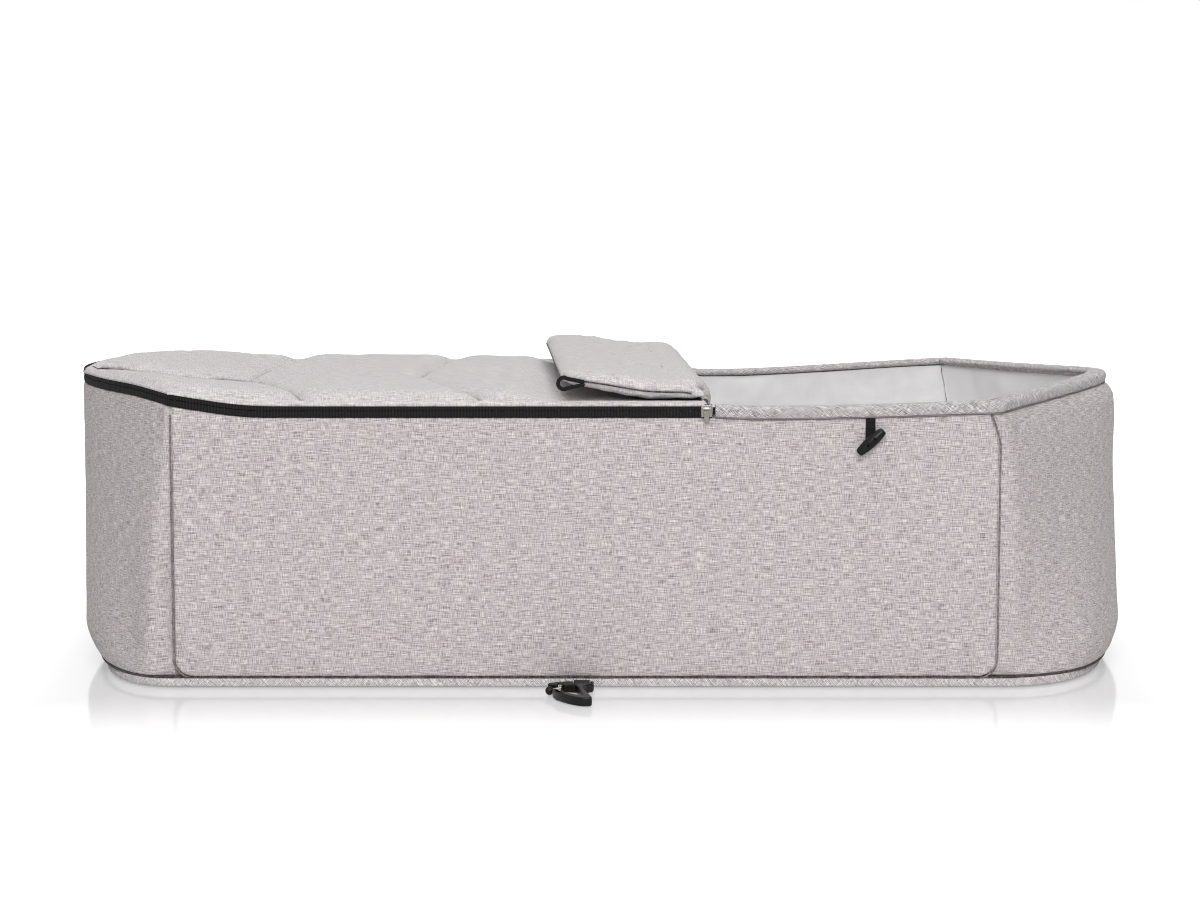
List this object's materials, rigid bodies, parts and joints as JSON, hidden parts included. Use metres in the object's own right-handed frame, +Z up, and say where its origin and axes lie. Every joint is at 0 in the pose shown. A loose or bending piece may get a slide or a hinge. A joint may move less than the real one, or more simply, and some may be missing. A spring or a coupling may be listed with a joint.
{
  "type": "carrycot",
  "caption": "Soft fabric carrycot with a quilted zip-on cover, padded wind flap, ribbon toggles and sprung chassis hooks.",
  "frame": {"origin": "under the middle of the base, on the surface that the carrycot stands on", "axes": "+X towards the head end, +Y towards the far side, +Z up"},
  "size_m": [0.7826, 0.473, 0.2217],
  "materials": {
    "melange_fabric": "plain weave, light warm grey melange",
    "quilted_fabric": "plain weave melange, quilted",
    "flap_fabric": "plain weave melange over wadding",
    "binding_tape": "diagonal weave bias binding",
    "lining_cotton": "fine cotton, light grey",
    "mattress_cover": "soft knitted cover",
    "stiffener_board": "plain sheet, hidden",
    "wadding": "polyester wadding, hidden",
    "zip_tape": "matte ribbed zip tape and coil",
    "ribbon_black": "fine grosgrain ribbon",
    "webbing_black": "woven webbing",
    "plastic_black": "moulded, satin",
    "steel": "plain bright steel"
  },
  "bodies": {
    "body": {"base_panel": "melange_fabric", "base_board": "stiffener_board", "base_lining": "lining_cotton", "base_binding": "binding_tape", "side_panel_near": "melange_fabric", "side_panel_far": "melange_fabric", "side_board_near": "stiffener_board", "side_board_far": "stiffener_board", "end_panel_head": "melange_fabric", "end_panel_foot": "melange_fabric", "end_foam_head": "wadding", "end_foam_foot": "wadding", "lining_near": "lining_cotton", "lining_far": "lining_cotton", "lining_head": "lining_cotton", "lining_foot": "lining_cotton", "mattress": "mattress_cover", "rim_binding": "binding_tape", "zip_tape_lower": "zip_tape", "zip_coil_lower": "zip_tape", "zip_stop_near": "plastic_black", "zip_stop_far": "plastic_black"},
    "cover": {"cover_top": "quilted_fabric", "cover_lining": "lining_cotton", "cover_hem": "flap_fabric", "zip_tape_upper": "zip_tape", "zip_coil_upper": "zip_tape"},
    "flap": {"wind_flap": "flap_fabric"},
    "slider": {"zip_slider": "steel"},
    "pull": {"zip_pull": "steel"},
    "flap_loop_near": {"flap_loop_near": "ribbon_black"},
    "toggle_ribbon_near": {"toggle_ribbon_near": "ribbon_black"},
    "toggle_near": {"toggle_near": "plastic_black", "toggle_tie_near": "ribbon_black"},
    "hook_strap_near": {"hook_strap_near": "webbing_black"},
    "hook_near": {"hook_frame_near": "plastic_black", "hook_bar_near": "steel"},
    "hook_gate_near": {"hook_gate_near": "steel", "hook_knob_near": "plastic_black"},
    "flap_loop_far": {"flap_loop_far": "ribbon_black"},
    "toggle_ribbon_far": {"toggle_ribbon_far": "ribbon_black"},
    "toggle_far": {"toggle_far": "plastic_black", "toggle_tie_far": "ribbon_black"},
    "hook_strap_far": {"hook_strap_far": "webbing_black"},
    "hook_far": {"hook_frame_far": "plastic_black", "hook_bar_far": "steel"},
    "hook_gate_far": {"hook_gate_far": "steel", "hook_knob_far": "plastic_black"}
  },
  "joints": [
    {"name": "cover_lift", "type": "slide", "parent": "body", "child": "cover", "axis": [0, 0, 1], "range_m": [0, 0.25]},
    {"name": "flap_fold", "type": "hinge", "parent": "cover", "child": "flap", "pos_m": [0.0745, 0, 0.209], "axis": [0, 1, 0], "range_deg": [0, 166]},
    {"name": "zip_run", "type": "slide", "parent": "body", "child": "slider", "axis": [-1, 0, 0], "range_m": [0, 0.29]},
    {"name": "pull_swing", "type": "hinge", "parent": "slider", "child": "pull", "pos_m": [0.0749, -0.1734, 0.20017], "axis": [-1, 0, 0], "range_deg": [0, 150]},
    {"name": "flap_loop_near_swing", "type": "hinge", "parent": "flap", "child": "flap_loop_near", "pos_m": [-0.0223, -0.16838, 0.21948], "axis": [-1, 0, 0], "range_deg": [0, 110]},
    {"name": "toggle_ribbon_near_swing", "type": "hinge", "parent": "body", "child": "toggle_ribbon_near", "pos_m": [0.1905, -0.171, 0.19313], "axis": [-1, 0, 0], "range_deg": [0, 120]},
    {"name": "toggle_near_tilt", "type": "hinge", "parent": "toggle_ribbon_near", "child": "toggle_near", "pos_m": [0.1905, -0.17615, 0.17695], "axis": [0, 1, 0], "range_deg": [-47, 90]},
    {"name": "hook_strap_near_swing", "type": "hinge", "parent": "body", "child": "hook_strap_near", "pos_m": [-0.013, -0.1711, 0.0037], "axis": [-1, 0, 0], "range_deg": [-35, 40]},
    {"name": "hook_near_tilt", "type": "hinge", "parent": "hook_strap_near", "child": "hook_near", "pos_m": [-0.013, -0.1805, 0.0037], "axis": [-1, 0, 0], "range_deg": [-60, 50]},
    {"name": "hook_gate_near_open", "type": "hinge", "parent": "hook_near", "child": "hook_gate_near", "pos_m": [-0.028, -0.1885, 0.00335], "axis": [0, 0, 1], "range_deg": [0, 28], "stiffness_Nm_per_rad": 0.01},
    {"name": "flap_loop_far_swing", "type": "hinge", "parent": "flap", "child": "flap_loop_far", "pos_m": [-0.0223, 0.16838, 0.21948], "axis": [1, 0, 0], "range_deg": [0, 110]},
    {"name": "toggle_ribbon_far_swing", "type": "hinge", "parent": "body", "child": "toggle_ribbon_far", "pos_m": [0.1905, 0.171, 0.19116], "axis": [1, 0, 0], "range_deg": [0, 120]},
    {"name": "toggle_far_tilt", "type": "hinge", "parent": "toggle_ribbon_far", "child": "toggle_far", "pos_m": [0.1905, 0.17615, 0.17498], "axis": [0, 1, 0], "range_deg": [-47, 90]},
    {"name": "hook_strap_far_swing", "type": "hinge", "parent": "body", "child": "hook_strap_far", "pos_m": [-0.013, 0.1711, 0.0037], "axis": [1, 0, 0], "range_deg": [-35, 40]},
    {"name": "hook_far_tilt", "type": "hinge", "parent": "hook_strap_far", "child": "hook_far", "pos_m": [-0.013, 0.1805, 0.0037], "axis": [1, 0, 0], "range_deg": [-60, 50]},
    {"name": "hook_gate_far_open", "type": "hinge", "parent": "hook_far", "child": "hook_gate_far", "pos_m": [-0.028, 0.1885, 0.00335], "axis": [0, 0, -1], "range_deg": [0, 28], "stiffness_Nm_per_rad": 0.01}
  ]
}
